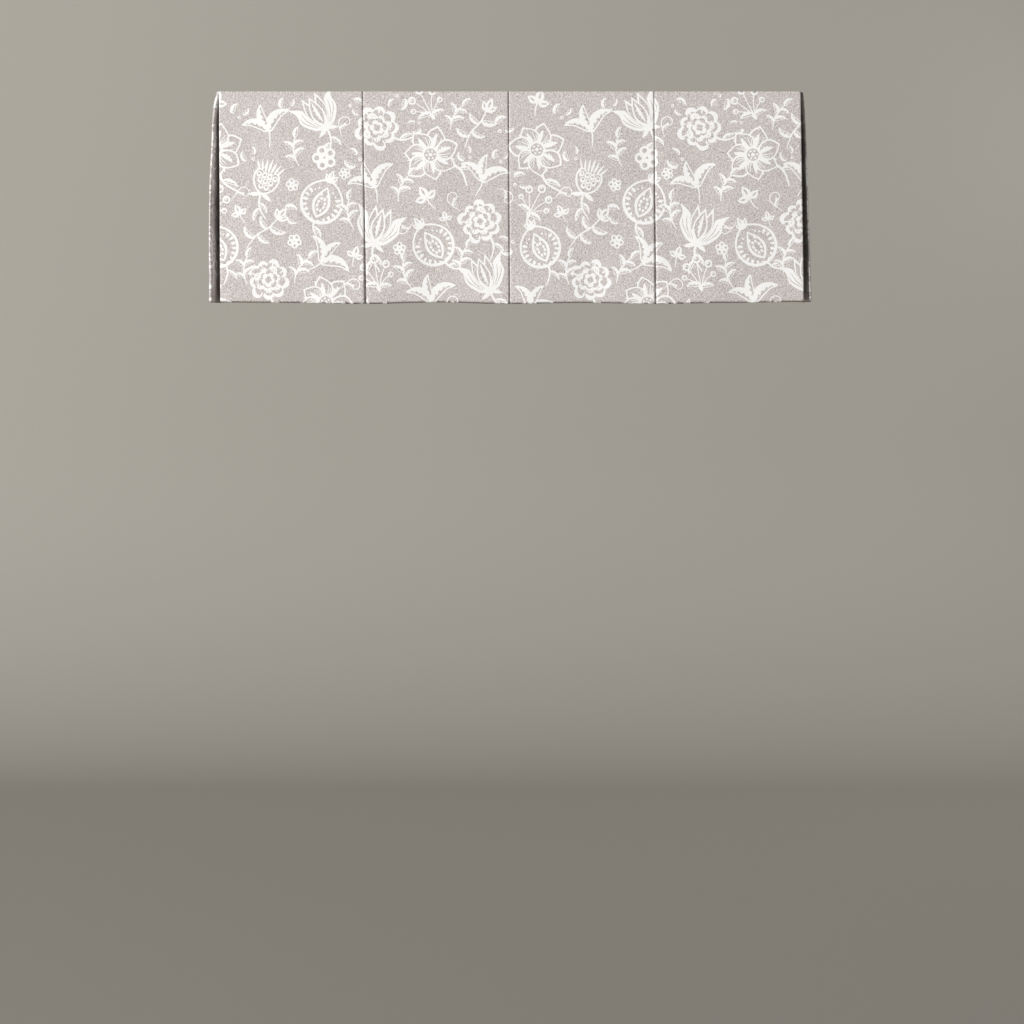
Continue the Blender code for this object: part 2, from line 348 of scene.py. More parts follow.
def softness(points):
    """How far each point gives from its true place. It is a field of the place alone, so that layers
    that lie on each other stay so."""
    x, y, z = points.T
    free = np.clip(-z - HEADING, 0, None) / (DROP - HEADING)
    held = np.minimum(1, free * 4)
    face = (
        0.0007 * np.sin(23 * x + 9 * z + 1.0)
        + 0.0005 * np.sin(41 * x - 16 * z + 2.1)
        + 0.0004 * np.sin(67 * x + 24 * z)
        + 0.0003 * np.sin(31 * z + 11 * x)
    )
    side = 0.0008 * np.sin(19 * z + 26 * y) + 0.0005 * np.sin(47 * z - 30 * y + 1.3)
    beside = np.clip(y / 0.05, 0, 1) ** 2
    give = np.zeros_like(points)
    give[:, 0] = side * beside * held * np.sign(x)
    give[:, 1] = face * held
    return give


# ---- the print --------------------------------------------------------------------------------------
# Each motif is a list of (ink, outline): ink 1 is white print and 0 is bare cloth, a later shape lies
# over an earlier one, and an outline is a row of complex numbers, across and up.


def smooth(points, steps=6, closed=False):
    """A smooth curve through the points."""
    points = [complex(point) for point in points]
    count = len(points)
    curve = []
    for i in range(count if closed else count - 1):
        if closed:
            before, low, high, after = (points[(i + k) % count] for k in (-1, 0, 1, 2))
        else:
            before, low = points[max(i - 1, 0)], points[i]
            high, after = points[i + 1], points[min(i + 2, count - 1)]
        for k in range(steps):
            t = k / steps
            curve.append(
                low
                + 0.5 * t * (high - before)
                + t * t * (before - 2.5 * low + 2 * high - 0.5 * after)
                + t**3 * 0.5 * (3 * (low - high) + after - before)
            )
    return np.array(curve if closed else [*curve, points[-1]])


def stroke(points, widths, steps=6):
    """Outline of a line drawn through the points, its width easing through the widths."""
    path = smooth(points, steps)
    along = np.linspace(0, 1, len(path))
    half = np.interp(along, np.linspace(0, 1, len(widths)), widths) / 2
    direction = np.gradient(path)
    across = 1j * direction / np.maximum(np.abs(direction), 1e-9)
    return np.concatenate([path + half * across, (path - half * across)[::-1]])


def oval(centre, radius, steps=16, squash=1.0):
    angles = np.linspace(0, 2 * math.pi, steps, endpoint=False)
    return centre + radius * (np.cos(angles) + 1j * squash * np.sin(angles))


def lobes(radius, count, depth, turn=0.0, steps=9):
    """A scalloped outline of uneven lobes."""
    outline = []
    for i in range(count):
        uneven = 1 + 0.09 * math.sin(2.7 * i + 3 * turn)
        for k in range(steps):
            bulge = math.sin(math.pi * k / steps) ** 0.8
            angle = 2 * math.pi * (i + k / steps) / count + turn
            outline.append(radius * uneven * (1 - depth + depth * bulge) * cmath.exp(1j * angle))
    return np.array(outline)


def lens(base, tip, left, right, steps=8):
    """A pointed leaf or petal from base to tip, with its own bulge on each side."""
    axis, t = tip - base, np.linspace(0, 1, steps + 1)
    swell, line = np.sin(math.pi * t**0.85), base + axis * t
    return np.concatenate([line + 1j * axis * left * swell, (line - 1j * axis * right * swell)[-2:0:-1]])


def saw(base, tip, width, teeth, steps=4):
    """A lens with saw teeth along its left side, from base to tip."""
    axis = tip - base
    outline = []
    for i in range(teeth):
        for k in range(steps):
            t = (i + k / steps) / teeth
            tooth = 1 - 0.6 * k / steps
            outline.append(base + axis * t + 1j * axis * width * math.sin(math.pi * t) * tooth)
    return np.array([*outline, tip])


def shrunk(outline, part, shift=0):
    return outline.mean() + shift + (outline - outline.mean()) * part


def placed(shapes, place=0, size=1.0, turn=0.0, mirror=False):
    spin = cmath.exp(1j * math.radians(turn)) * size
    return [(ink, place + spin * (np.conj(line) if mirror else line)) for ink, line in shapes]


def pointed(base, one_side, tip, other_side):
    """An outline that runs up one side to a sharp tip and down the other."""
    return np.concatenate([smooth([base, *one_side, tip], 7), smooth([tip, *other_side, base], 7)[1:-1]])


def curled_petal(lean, width=0.40):
    """An open petal along the real axis that curls to one side, with a toothed flame and veins inside."""
    rim = pointed(
        0.16,
        [0.34 + 0.72j * width, 0.64 + 1.02j * width, 0.86 + 0.70j * width + 0.3j * lean],
        1.05 + 1j * lean,
        [0.80 - 0.62j * width + 0.2j * lean, 0.52 - 0.86j * width, 0.28 - 0.56j * width],
    )
    tip = 0.80 + 0.5j * lean
    shapes = [(1, rim), (0, shrunk(rim, 0.82, 0.01))]
    shapes += [(1, saw(0.22 + 0j, tip, 0.28, 5)), (1, lens(0.22 + 0j, tip, 0.02, 0.08, 6))]
    for side, reach in ((-0.36, 0.70), (-0.62, 0.58)):
        vein = [0.28 + 0.3j * side * width, 0.46 + 0.8j * side * width, reach + 0.9j * side * width]
        shapes.append((1, stroke(vein, (0.02, 0.034, 0.02), 4)))
    return shapes


def open_flower(petals=7):
    """A wide flower of curled petals round a beaded eye, with small sepals behind."""
    step, shapes = 360 / petals, []
    for i in range(petals):
        out = cmath.exp(1j * math.radians(step * (i + 0.5)))
        shapes.append((1, lens(0.4 * out, (0.90 + 0.05 * math.sin(3 * i)) * out, 0.16, 0.16, 5)))
    for i in range(petals):
        reach = 0.97 + 0.08 * math.sin(2.3 * i + 1)
        shapes += placed(curled_petal(0.16 + 0.05 * math.sin(1.7 * i)), 0, reach, step * i)
    shapes += [(1, lobes(0.33, 9, 0.14)), (0, oval(0, 0.23, 20)), (1, oval(0, 0.07, 10))]
    return shapes + [(1, oval(0.15 * cmath.exp(1j * k * math.pi / 3), 0.042, 8)) for k in range(6)]


def round_flower():
    """A full round flower of uneven scalloped rings."""
    shapes = [(1, lobes(1.0, 9, 0.20)), (0, lobes(0.81, 9, 0.15, 0.08))]
    for i in range(9):
        out = cmath.exp(2j * math.pi * (i + 0.5) / 9 + 0.05j * i)
        shapes.append((1, lens(0.90 * out, 0.62 * out, 0.12, 0.20, 4)))
    shapes += [(1, lobes(0.66, 7, 0.24, 0.5)), (0, lobes(0.45, 6, 0.22, 0.7))]
    shapes += [(1, lobes(0.34, 5, 0.30, 0.2)), (0, lobes(0.17, 4, 0.3, 0.4, 4))]
    for i in range(21):
        out = cmath.exp(1j * (2 * math.pi * i / 21 + 0.04 * (i % 3)))
        crease = [0.50 * out, (0.60 + 0.02 * (i % 2)) * out * cmath.exp(0.05j)]
        shapes.append((0, stroke(crease, (0.022, 0.030, 0.012), 3)))
    return shapes


def split_fruit():
    """A ripe fruit split open on its seeds, with a toothed rim and a crown of sepals."""
    angles = np.linspace(0, 2 * math.pi, 54, endpoint=False)
    rim = (1 + 0.10 * np.exp(-((angles - math.pi / 2) ** 2) * 5)) * np.exp(1j * angles)
    shapes = [(1, rim), (0, 0.885 * rim + 0.035j)]
    for side in (-1, 1):
        for i in range(7):
            out = cmath.exp(1j * math.radians(90 + side * (62 + 18 * i)))
            shapes.append((1, lens(0.90 * out, (0.60 + 0.05 * (i % 2)) * out, 0.30, 0.22, 3)))
    shapes.append((0, lens(-0.88j, 0.86j, 0.36, 0.36, 14)))
    shapes += [(1, lens(-0.74j, 0.78j, 0.27, 0.27, 14)), (0, lens(-0.62j, 0.66j, 0.22, 0.22, 12))]
    for i in range(5):
        for side in (-1, 1):
            seed = complex(side * 0.085 * (1 + (i % 3 > 0)) * 0.9, -0.36 + 0.18 * i)
            shapes.append((1, oval(seed, 0.062, 7, 1.4)))
            out = cmath.exp(1j * math.radians(90 - side * (30 + 17 * i)))
            shapes.append((1, oval(0.68 * out, 0.050 - 0.004 * i, 7)))
    for turn, length in ((40, 0.46), (-38, 0.50), (2, 0.60)):
        tip = 0.98j + length * cmath.exp(1j * math.radians(90 + turn))
        shapes.append((1, lens(0.94j, tip, 0.26, 0.22, 6)))
        shapes.append((0, lens(0.40 * tip + 0.58j, 0.85 * tip + 0.14j, 0.10, 0.10, 4)))
    return shapes


def side_flower():
    """A flower seen from the side, its outer petals curling away from two inner ones and a tongue."""
    shapes = []
    for side in (-1, 1):
        outer = pointed(
            -0.84j,
            [side * 0.50 - 0.66j, side * 0.92 - 0.12j, side * 0.92 + 0.36j],
            side * 1.12 + 0.76j,
            [side * 0.60 + 0.46j, side * 0.42 + 0.02j, side * 0.24 - 0.40j],
        )
        shapes.append((1, outer))
        for spread, reach in ((0.40, 0.36), (0.56, 0.30), (0.72, 0.16)):
            bend, end = side * 1.04 * spread - 0.16j, side * (spread + 0.14) + 1j * reach
            vein = [side * 0.5 * spread - 0.60j, bend, end]
            shapes.append((0, stroke(vein, (0.02, 0.045, 0.02))))
    for side in (-1, 1):
        inner = pointed(
            -0.74j,
            [side * 0.36 - 0.30j, side * 0.50 + 0.24j],
            side * 0.34 + 0.92j,
            [side * 0.06 + 0.30j, side * 0.01 - 0.20j],
        )
        shapes += [(1, inner), (0, shrunk(inner, 0.76, side * 0.02))]
    tongue = lens(-0.80j, 0.84j, 0.21, 0.18, 9)
    shapes += [(1, tongue), (0, shrunk(tongue, 0.76, 0.04j))]
    shapes += [(1, saw(-0.50j, 0.60j, 0.12, 5)), (1, lens(-0.5j, 0.6j, 0.01, 0.05, 5))]
    for side in (-1, 1):
        shapes.append((1, lens(-0.76j, side * 0.52 - 1.02j, 0.20, 0.14, 5)))
    return [*shapes, (1, oval(-0.80j, 0.13, 8))]


def thistle():
    """A scaly cup with a fringe of stamens."""
    half = [-0.80j, 0.46 - 0.52j, 0.66, 0.50 + 0.40j, 0.20 + 0.28j]
    other_half = [-np.conj(point) for point in half[:0:-1]]
    cup = smooth([*half, *other_half], 4, True)
    shapes = []
    for i in range(7):
        across = -0.48 + 0.16 * i
        tip = complex(across * 1.5, 1.02 - 0.5 * abs(across))
        shapes.append((1, lens(complex(across * 0.8, 0.20), tip, 0.09, 0.06, 4)))
    shapes += [(1, cup), (0, shrunk(cup, 0.86, -0.01j))]
    for row, count in ((0.10, 4), (-0.16, 3), (-0.42, 2)):
        for i in range(count):
            centre = complex((i - (count - 1) / 2) * 0.27, row)
            shapes += [(1, oval(centre, 0.13, 12, 1.1)), (0, oval(centre + 0.03j, 0.065, 9))]
    for side in (-1, 1):
        shapes.append((1, lens(-0.76j, side * 0.60 - 0.98j, 0.20, 0.14, 5)))
    return shapes


def small_flower(petals=5):
    """Round petals drawn as outlines about a solid eye."""
    centres = [0.56 * cmath.exp(2j * math.pi * i / petals + 0.3j) for i in range(petals)]
    shapes = [(1, oval(centre, 0.44)) for centre in centres]
    shapes += [(0, oval(1.10 * centre, 0.20, 12)) for centre in centres]
    return [*shapes, (1, oval(0, 0.24, 12)), (0, oval(0, 0.10, 8))]


def long_leaf(bend=0.5, width=0.20, teeth=6):
    """A bent leaf of unit length, drawn as a line, with one half filled up to a toothed edge."""
    middle = smooth([0, 0.33 + 0.16j * bend, 0.70 + 0.16j * bend, 1 - 0.04j * bend], 8)
    t = np.linspace(0, 1, len(middle))
    direction = np.gradient(middle)
    across = 1j * direction / np.abs(direction)
    swell = np.sin(math.pi * t**0.72) ** 0.9 * width
    rim = np.concatenate([middle + across * swell, (middle - across * swell * 0.8)[::-1]])
    tooth = 0.50 * ((t * teeth) % 1.0) - 0.30
    inner = middle + across * swell * tooth
    outer = middle - across * (swell * 0.8 - 0.045)
    kept = slice(3, -3)
    return [(1, rim), (0, np.concatenate([inner[kept], outer[kept][::-1]]))]


def berry():
    return [(1, oval(0, 1)), (0, oval(0.06 - 0.04j, 0.55, 12)), (1, oval(-0.12 + 0.16j, 0.26, 8))]


def leaf_spray():
    """Three bent leaves from one stalk, of unit reach."""
    shapes = [(1, stroke([0.55j, -0.10j, 0.02 - 0.45j, -0.16 - 0.95j], (0.03, 0.07, 0.06, 0.03), 5))]
    shapes += placed(long_leaf(0.9, 0.20, 6), -0.30j, 1.15, 148, True)
    shapes += placed(long_leaf(0.9, 0.21, 6), -0.34j, 1.28, 30)
    return shapes + placed(long_leaf(0.5, 0.22, 5), -0.10j, 0.98, 88)


def berry_sprig():
    """Ringed berries on a forked stalk, with two small leaves."""
    twigs = (
        (-0.50 + 0.52j, 0.20),
        (0.08 + 0.80j, 0.22),
        (0.62 + 0.44j, 0.20),
        (0.74 - 0.12j, 0.15),
        (-0.72 + 0.02j, 0.14),
    )
    shapes = []
    for place, _ in twigs:
        shapes.append((1, stroke([-0.85j, 0.35 * place - 0.34j, place], (0.07, 0.05, 0.045), 4)))
    for place, radius in twigs:
        shapes += placed(berry(), place, radius)
    shapes += placed(long_leaf(0.5, 0.22, 4), -0.52j, 0.72, 172, True)
    return shapes + placed(long_leaf(0.5, 0.22, 4), -0.62j, 0.68, -6)


def bud_sprig():
    """A bowed stalk with a bud at its end and leaves in turn."""
    stalk = [-1.1 - 0.42j, -0.5 - 0.04j, 0.15 + 0.10j, 0.66 + 0.36j]
    shapes = [(1, stroke(stalk, (0.03, 0.07, 0.07, 0.06), 6))]
    leaves = (
        (-0.62 - 0.10j, 112, 0.66),
        (-0.40 - 0.02j, -58, 0.62),
        (0.05 + 0.08j, 96, 0.62),
        (0.20 + 0.10j, -40, 0.72),
    )
    for place, turn, size in leaves:
        shapes += placed(long_leaf(0.7, 0.21, 4), place, size, turn, turn < 0)
    for turn, size in ((70, 0.52), (-12, 0.52), (30, 0.66)):
        petal = [(1, lens(0, 1, 0.26, 0.26, 7)), (0, lens(0.30, 0.80, 0.14, 0.14, 5))]
        shapes += placed(petal, 0.60 + 0.30j, size, turn)
    return shapes


def leafy_twig():
    """A bowed twig with toothed leaves in turn on both sides and one at its end."""
    stalk = [0.06 - 1.0j, -0.06 - 0.35j, 0.06 + 0.30j, 0.30 + 0.70j]
    shapes = [(1, stroke(stalk, (0.04, 0.09, 0.08, 0.05), 6))]
    leaves = (
        (-0.03 - 0.62j, 148, 0.66),
        (-0.05 - 0.40j, 28, 0.74),
        (0.00 - 0.02j, 128, 0.74),
        (0.05 + 0.24j, 8, 0.62),
        (0.26 + 0.62j, 62, 0.66),
    )
    for place, turn, size in leaves:
        shapes += placed(long_leaf(0.6, 0.24, 4), place, size, turn, turn > 90)
    return shapes


def tendril():
    """A thin shoot that curls in at its end, with a leaf where it starts to turn."""
    curl = [0.62 * (1 - 0.13 * k) * cmath.exp(1j * (2.6 - 0.85 * k)) for k in range(7)]
    shapes = [(1, stroke([-0.75 - 1.05j, -0.72 - 0.35j, *curl], (0.05, 0.10, 0.09, 0.07, 0.10), 5))]
    shapes += [(1, oval(curl[-1], 0.12, 10))]
    return shapes + placed(long_leaf(0.6, 0.24, 4), -0.72 - 0.42j, 0.75, 15)


def loose_leaves():
    """Two small leaves and a berry, with no stalk."""
    shapes = placed(long_leaf(0.8, 0.26, 4), -0.80 - 0.30j, 1.1, 52)
    shapes += placed(long_leaf(0.6, 0.24, 3), 0.15 - 0.60j, 0.85, 36, True)
    return shapes + placed(berry(), -0.25 - 0.80j, 0.17)


def trefoil():
    """Three round leaves on a short stalk."""
    shapes = [(1, stroke([0, -0.4j, 0.14 - 0.9j], (0.10, 0.09, 0.05), 4))]
    leaf = [(1, lens(0.05, 1, 0.30, 0.34, 8)), (0, lens(0.30, 0.82, 0.10, 0.20, 6))]
    for turn, size in ((18, 0.80), (162, 0.80), (92, 0.95)):
        shapes += placed(leaf, -0.05j, size, turn)
    return shapes


def stem(length, bend):
    """A bowed stem that runs down from a head's middle, with a leaf on each side in turn."""
    path = [
        0,
        -0.95j,
        0.20 * bend * length - 1j * (1 + 0.45 * length),
        bend * length * 0.72 - 1j * (1 + 0.86 * length),
    ]
    line = smooth(path, 6)
    shapes = [(1, stroke(path, (0.07, 0.10, 0.08, 0.05), 6))]
    for k, side, size in ((9, 1, 0.62), (12, -1, 0.70), (15, 1, 0.50)):
        if k < 9 + 3 * round(length * 1.6):
            heading = math.degrees(cmath.phase(line[k] - line[k - 1]))
            shapes += placed(long_leaf(0.6, 0.17, 4), line[k], size, heading + side * 40, side < 0)
    return shapes


MOTIFS = {
    "open flower": open_flower,
    "round flower": round_flower,
    "split fruit": split_fruit,
    "side flower": side_flower,
    "thistle": thistle,
    "small flower": small_flower,
    "leaf spray": leaf_spray,
    "berry sprig": berry_sprig,
    "bud sprig": bud_sprig,
    "trefoil": trefoil,
    "leafy twig": leafy_twig,
    "tendril": tendril,
    "loose leaves": loose_leaves,
}

# motif, across, down, size, turn, then the length and the bend of its stem in parts of its size
LAYOUT = (
    ("trefoil", 52, 22, 30, -20, 0, 0),
    ("open flower", 50, 112, 52, 12, 0.8, 0.9),
    ("berry sprig", 44, 214, 38, -24, 0, 0),
    ("split fruit", 56, 300, 40, 24, 0.9, -0.8),
    ("leaf spray", 40, 406, 46, -30, 0, 0),
    ("leaf spray", 150, 64, 46, 18, 0, 0),
    ("thistle", 150, 168, 40, -20, 1.0, 0.9),
    ("bud sprig", 150, 268, 44, 20, 0, 0),
    ("round flower", 152, 362, 40, 10, 0.8, 0.9),
    ("small flower", 160, 438, 24, 0, 0, 0),
    ("side flower", 250, 42, 42, 30, 1.1, -0.8),
    ("small flower", 262, 128, 24, 20, 0, 0),
    ("split fruit", 256, 214, 42, -22, 0.7, 0.9),
    ("leaf spray", 262, 318, 46, -44, 0, 0),
    ("open flower", 262, 404, 50, 40, 0, 0),
    ("round flower", 364, 70, 42, 60, 0.8, 0.9),
    ("leaf spray", 352, 172, 46, 24, 0, 0),
    ("side flower", 364, 260, 44, -16, 1.0, 0.8),
    ("berry sprig", 358, 352, 38, 12, 0, 0),
    ("bud sprig", 366, 430, 42, -24, 0, 0),
    ("berry sprig", 458, 26, 38, 30, 0, 0),
    ("open flower", 466, 122, 52, 66, 0.8, -0.9),
    ("trefoil", 458, 206, 30, 30, 0, 0),
    ("split fruit", 470, 296, 41, 34, 0.8, 0.8),
    ("leaf spray", 462, 392, 46, 8, 0, 0),
    ("bud sprig", 560, 66, 44, 36, 0, 0),
    ("leaf spray", 566, 160, 46, -10, 0, 0),
    ("round flower", 560, 250, 41, 33, 0.9, -0.9),
    ("side flower", 568, 352, 42, 20, 1.0, 0.9),
    ("small flower", 546, 430, 24, 45, 0, 0),
    ("loose leaves", 100, 34, 20, 12, 0, 0),
    ("leafy twig", 203, 112, 34, 14, 0, 0),
    ("tendril", 108, 196, 20, -30, 0, 0),
    ("leafy twig", 106, 340, 32, 6, 0, 0),
    ("loose leaves", 200, 236, 22, -60, 0, 0),
    ("leafy twig", 214, 336, 34, -24, 0, 0),
    ("tendril", 304, 60, 22, 20, 0, 0),
    ("loose leaves", 312, 128, 22, 100, 0, 0),
    ("leafy twig", 306, 232, 34, 16, 0, 0),
    ("tendril", 318, 372, 22, -40, 0, 0),
    ("loose leaves", 404, 26, 21, 200, 0, 0),
    ("leafy twig", 410, 180, 33, -16, 0, 0),
    ("tendril", 408, 262, 20, 150, 0, 0),
    ("leafy twig", 412, 348, 34, 22, 0, 0),
    ("leafy twig", 514, 44, 32, -20, 0, 0),
    ("loose leaves", 530, 118, 18, 70, 0, 0),
    ("tendril", 510, 204, 22, 60, 0, 0),
    ("leafy twig", 524, 318, 32, -6, 0, 0),
    ("loose leaves", 610, 62, 22, -20, 0, 0),
    ("tendril", 612, 206, 21, -100, 0, 0),
    ("loose leaves", 606, 296, 22, 130, 0, 0),
    ("tendril", 508, 404, 20, 10, 0, 0),
    ("loose leaves", 22, 170, 20, -40, 0, 0),
    ("trefoil", 98, 236, 22, 24, 0, 0),
    ("loose leaves", 114, 118, 19, 60, 0, 0),
    ("loose leaves", 190, 20, 18, 30, 0, 0),
    ("small flower", 200, 180, 13, 10, 0, 0),
    ("small flower", 203, 288, 14, 40, 0, 0),
    ("loose leaves", 328, 30, 19, -80, 0, 0),
    ("small flower", 301, 158, 12, 25, 0, 0),
    ("trefoil", 318, 316, 23, -18, 0, 0),
    ("loose leaves", 434, 70, 17, 150, 0, 0),
    ("small flower", 404, 302, 13, 0, 0, 0),
    ("trefoil", 494, 246, 18, 12, 0, 0),
    ("loose leaves", 600, 120, 18, 20, 0, 0),
)


def printed():
    """Every shape of one repeat of the print, stems first."""
    stems, heads = [], []
    for kind, across, down, size, turn, length, bend in LAYOUT:
        place = complex(across, -down)
        if length:
            stems += placed(stem(length, bend), place, size, turn)
        heads += placed(MOTIFS[kind](), place, size, turn)
    return stems + heads


def print_on(start, width, height):
    """The shapes of the print that reach into a sheet, measured from its left edge, where start is."""
    shapes = []
    for k in range(math.floor(start / REPEAT) - 1, math.ceil((start + width) / REPEAT) + 1):
        for ink, outline in PRINT:
            moved = outline + k * REPEAT - start
            if moved.real.max() > 0 and moved.real.min() < width and moved.imag.min() < 0:
                if moved.imag.max() > -height:
                    shapes.append((ink, moved))
    return shapes


def inside(points, outline):
    """Whether each point lies inside the outline."""
    start, end, point = outline[None, :], np.roll(outline, -1)[None, :], points[:, None]
    rise = np.where(end.imag == start.imag, 1, end.imag - start.imag)
    spans = (start.imag > point.imag) != (end.imag > point.imag)
    crossing = start.real + (end.real - start.real) * (point.imag - start.imag) / rise
    return (spans & (point.real < crossing)) @ np.ones(len(outline)) % 2 == 1


def inked(points, shapes):
    """The ink of the last shape over each point."""
    ink = np.zeros(len(points), int)
    for value, outline in shapes:
        near = (points.real > outline.real.min()) & (points.real < outline.real.max())
        near &= (points.imag > outline.imag.min()) & (points.imag < outline.imag.max())
        near = np.flatnonzero(near)
        if len(near):
            ink[near[inside(points[near], outline)]] = value
    return ink


# ---- sheets of cloth --------------------------------------------------------------------------------


def with_edge_rows(rows):
    """The rows of points from one edge to the other, with more near both edges to round them off."""
    first, last = rows[0], rows[-1]
    extra = [first + step for step in EDGE_ROWS] + [last - step for step in EDGE_ROWS]
    return np.array(sorted({*rows, *extra}))


def down_rows():
    """Millimetres from the top at which a sheet has points: close set at its edges and its turnings."""
    steps = round(DROP * 1000 / ROW_STEP)
    even = [DROP * 1000 * i / steps for i in range(steps + 1)]
    turnings = [1000 * (HEADING + THINNING * k / 3) for k in range(4)]
    turnings += [1000 * (DROP - HEM - THINNING * k / 3) for k in range(4)]
    clear = [row for row in even if min(abs(row - turning) for turning in turnings) > 1]
    return with_edge_rows([*clear, *turnings])


def hung_grid(plan):
    """(across, down, points, facing): the cloth's middle surface as a grid, with across and down in
    millimetres of cloth, and across growing to the right of someone who faces the print."""
    down = down_rows()
    points, facing = [], []
    for part in down / (DROP * 1000):
        stations = plan(part)
        points.append([hung(x, y, part) for x, y, _, _ in stations])
        facing.append([(facing_x, facing_y, 0) for _, _, facing_x, facing_y in stations])
    points, facing = np.array(points), np.array(facing)
    middle = len(down) // 2
    steps = np.linalg.norm(np.diff(points[middle][:, :2], axis=0), axis=1)
    across = np.concatenate([[0], np.cumsum(steps)]) * 1000
    heading = points[middle, 1] - points[middle, 0]
    if np.cross(-facing[middle, 0], (0, 0, 1)) @ heading < 0:
        points, facing, across = points[:, ::-1], facing[:, ::-1], across[-1] - across[::-1]
    return across, down, points, facing


def on_grid(grid, across, down, values):
    """Values read from the grid at these places of the cloth, linear between its points."""
    columns, rows = grid
    i = np.clip(np.searchsorted(columns, across) - 1, 0, len(columns) - 2)
    j = np.clip(np.searchsorted(rows, down) - 1, 0, len(rows) - 2)
    s = ((across - columns[i]) / (columns[i + 1] - columns[i]))[:, None]
    t = ((down - rows[j]) / (rows[j + 1] - rows[j]))[:, None]
    upper = values[j, i] * (1 - s) + values[j, i + 1] * s
    lower = values[j + 1, i] * (1 - s) + values[j + 1, i + 1] * s
    return upper * (1 - t) + lower * t


def cut_flat(columns, rows, shapes):
    """Triangles of a flat sheet that follow its columns of points and every outline of the print."""
    points, edges = [], []
    for column in columns:
        start = len(points)
        points += [(column, row) for row in rows]
        edges += [(start + k, start + k + 1) for k in range(len(rows) - 1)]
    for k in (0, len(rows) - 1):
        edges += [(i * len(rows) + k, (i + 1) * len(rows) + k) for i in range(len(columns) - 1)]
    for _, outline in shapes:
        start, count = len(points), len(outline)
        points += [(point.real, -point.imag) for point in outline]
        edges += [(start + k, start + (k + 1) % count) for k in range(count)]
    flat = [Vector(point) for point in points]
    made, _, faces, *_ = delaunay_2d_cdt(flat, edges, [], 0, 1e-4, False)
    made = np.array([(point.x, point.y) for point in made])
    for axis, edge in ((0, columns[0]), (0, columns[-1]), (1, rows[0]), (1, rows[-1])):
        made[np.abs(made[:, axis] - edge) < SNAP, axis] = edge
    faces = np.array([face for face in faces if len(face) == 3])
    middles = made[faces].mean(axis=1)
    first, last = np.array((columns[0], rows[0])), np.array((columns[-1], rows[-1]))
    kept = ((middles > first) & (middles < last)).all(axis=1)
    faces, middles = faces[kept], middles[kept]
    used, index = np.unique(faces, return_inverse=True)
    ink = inked(middles[:, 0] - 1j * middles[:, 1], shapes)
    return made[used], index.reshape(-1, 3), ink


def cloth_sheet(name, plan, middle_across, materials):
    """One closed sheet of printed cloth, and its flat width. middle_across is where the middle of its
    width lies in the print."""
    across, down, points, facing = hung_grid(plan)
    width = across[-1]
    grid = (across, down)
    start = middle_across - width / 2
    places, faces, ink = cut_flat(with_edge_rows(across), down, print_on(start, width, down[-1]))
    from_sides = np.minimum(places[:, 0], width - places[:, 0])
    from_ends = np.minimum(places[:, 1], down[-1] - places[:, 1])
    from_edge = np.clip(np.minimum(from_sides, from_ends), 0, EDGE_ROUND) / EDGE_ROUND
    fullness = np.sqrt(from_edge * (2 - from_edge))
    surface = on_grid(grid, places[:, 0], places[:, 1], points)
    outward = on_grid(grid, places[:, 0], places[:, 1], facing)
    outward /= np.linalg.norm(outward, axis=1)[:, None]
    turned = np.array([turned_in(part) for part in places[:, 1] / (DROP * 1000)])
    middle = surface - outward * (turned * TURNING / 2)[:, None]
    half = outward * (fullness * (CLOTH + turned * TURNING) / 2)[:, None]
    count = len(places)
    inner = np.flatnonzero(from_edge > 0)
    behind = np.arange(count)
    behind[inner] = count + np.arange(len(inner))
    vertices = np.concatenate([middle + half, (middle - half)[inner]])
    vertices += softness(vertices)
    corners = vertices[faces]
    normals = np.cross(corners[:, 1] - corners[:, 0], corners[:, 2] - corners[:, 0])
    if (normals * outward[faces[:, 0]]).sum() < 0:
        faces = faces[:, ::-1]
    triangles = np.concatenate([faces, behind[faces][:, ::-1]])
    mesh = bpy.data.meshes.new(name)
    mesh.from_pydata(vertices.tolist(), [], triangles.tolist())
    mesh.polygons.foreach_set("material_index", np.concatenate([ink, 2 + ink]).astype(np.int32))
    flat = np.concatenate([places, places[inner]]) / 1000
    coordinates = flat[triangles.ravel()] + (start / 1000, 0)
    mesh.uv_layers.new(name="cloth").data.foreach_set("uv", coordinates.astype(np.float32).ravel())
    for material in materials:
        mesh.materials.append(material)
    mesh.shade_smooth()
    mesh.update()
    sheet = bpy.data.objects.new(name, mesh)
    bpy.context.scene.collection.objects.link(sheet)
    return sheet, width / 1000


# ---- materials --------------------------------------------------------------------------------------

# The uneven places of the weave: how many there are to a metre across and down the cloth, and how many
# times finer ones are laid over them.
WEAVE = {
    "down_slubs": (820, 250, 2),
    "cross_slubs": (290, 820, 2),
    "warp": (620, 60, 2),
    "weft": (90, 620, 2),
    "blotch": (30, 22, 2),
    "tone": (440, 300, 1),
}
# How much of a cloth's contrast each of them gives its shade. The blotches shade every cloth alike.
SHADE_SHARES = {"down_slubs": 1, "cross_slubs": 0.8, "warp": 0.4, "weft": 0.3}
BLOTCH_SHARE = 0.06
# How high the weft stands as a share of the warp, and how high the warp stands, in metres.
WEFT_HEIGHT = 0.7
WARP_HEIGHT = 0.0006


def add_node(tree, kind, settings=(), inputs=()):
    node = tree.nodes.new(kind)
    for name, value in dict(settings).items():
        setattr(node, name, value)
    for name, value in dict(inputs).items():
        node.inputs[name].default_value = value
    return node


